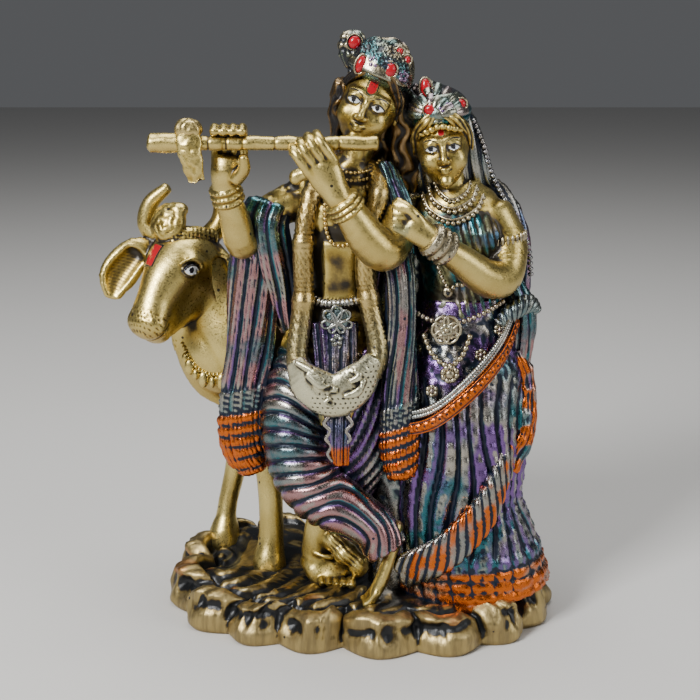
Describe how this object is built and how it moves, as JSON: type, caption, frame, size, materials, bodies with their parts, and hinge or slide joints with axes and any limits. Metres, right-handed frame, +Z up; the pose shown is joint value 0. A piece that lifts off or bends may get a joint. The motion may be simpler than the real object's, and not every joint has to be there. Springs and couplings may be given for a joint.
{
  "type": "flute player and companion idol with cow",
  "caption": "Table idol cast in one piece: a flute player with crossed legs and a companion in pleated dress stand before a cow on a lobed rock base.",
  "frame": {"origin": "middle of the flat underside of the rock base", "axes": "+Z up, -Y to the front, where the figures look, +X to the viewer's right, the companion's side"},
  "size_m": [0.1828, 0.1072, 0.2302],
  "materials": {
    "brass": "antique brass, half polished on the high forms, dark blue-black patina in the hollows, thin teal, violet, copper-pink and orange lacquer on the cloth, red enamel marks and painted eyes"
  },
  "bodies": {
    "root": {"idol": "brass"}
  },
  "joints": []
}
